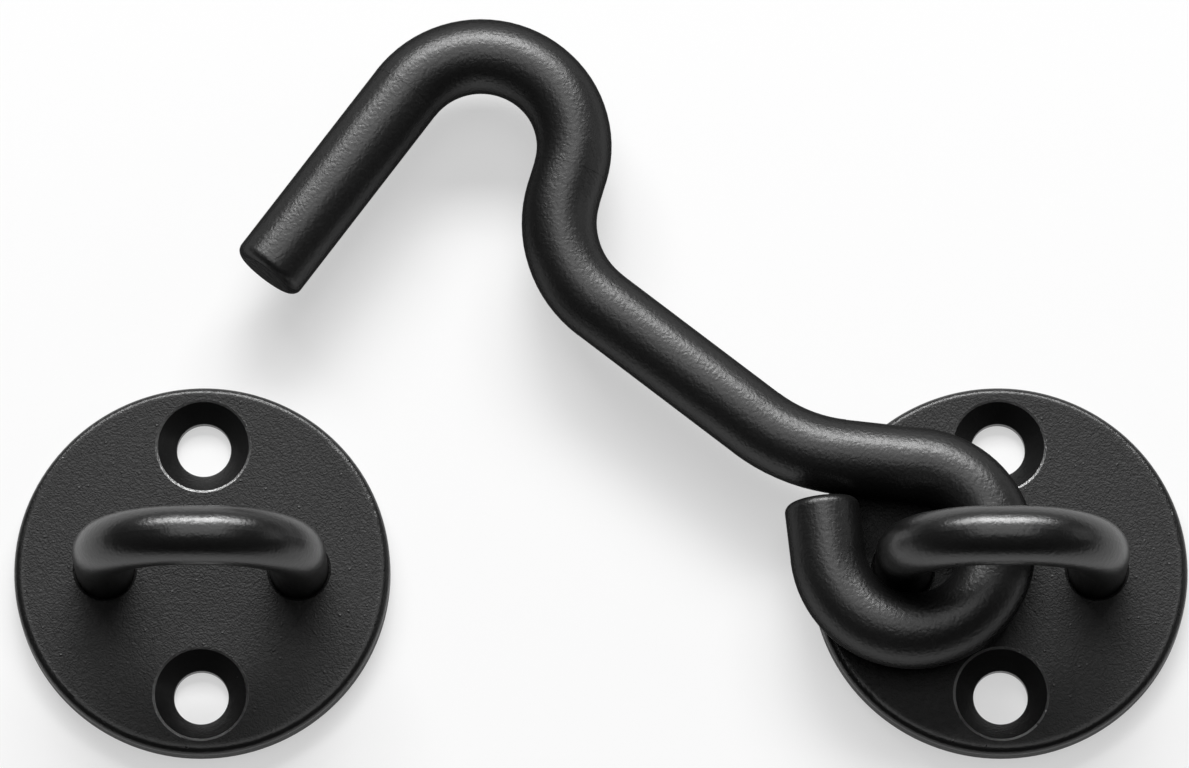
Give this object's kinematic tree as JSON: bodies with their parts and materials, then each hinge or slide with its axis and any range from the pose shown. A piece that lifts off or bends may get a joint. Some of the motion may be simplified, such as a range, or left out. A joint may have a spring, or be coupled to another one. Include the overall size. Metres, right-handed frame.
{
  "type": "hook and eye latch",
  "caption": "Hook and eye latch in black coated steel: a bent round-rod hook swings on one plate's staple, and its tail drops into the staple of a matching keeper plate.",
  "frame": {"origin": "centre of the pivot plate's back face, where it lies on the door or frame", "axes": "+Z out of the plates' faces, +X from the keeper plate towards the pivot plate, +Y up along each plate's pair of screws"},
  "size_m": [0.1248, 0.0795, 0.0222],
  "materials": {
    "plate_coat": "satin black powder coat with a fine leathery grain",
    "staple_coat": "satin black powder coat with a fine leathery grain",
    "hook_coat": "satin black powder coat with a fine leathery grain"
  },
  "bodies": {
    "pivot": {"pivot_plate": "plate_coat", "pivot_staple": "staple_coat"},
    "hook": {"hook": "hook_coat"},
    "keeper": {"keeper_plate": "plate_coat", "keeper_staple": "staple_coat"}
  },
  "joints": [
    {"name": "hook_swing", "type": "hinge", "parent": "pivot", "child": "hook", "pos_m": [-0.0103, 0, 0.0073], "axis": [0, 0, 1], "range_deg": [-108, 46]},
    {"name": "keeper_travel", "type": "slide", "parent": "pivot", "child": "keeper", "axis": [-1, 0, 0], "range_m": [0, 0.06]}
  ]
}
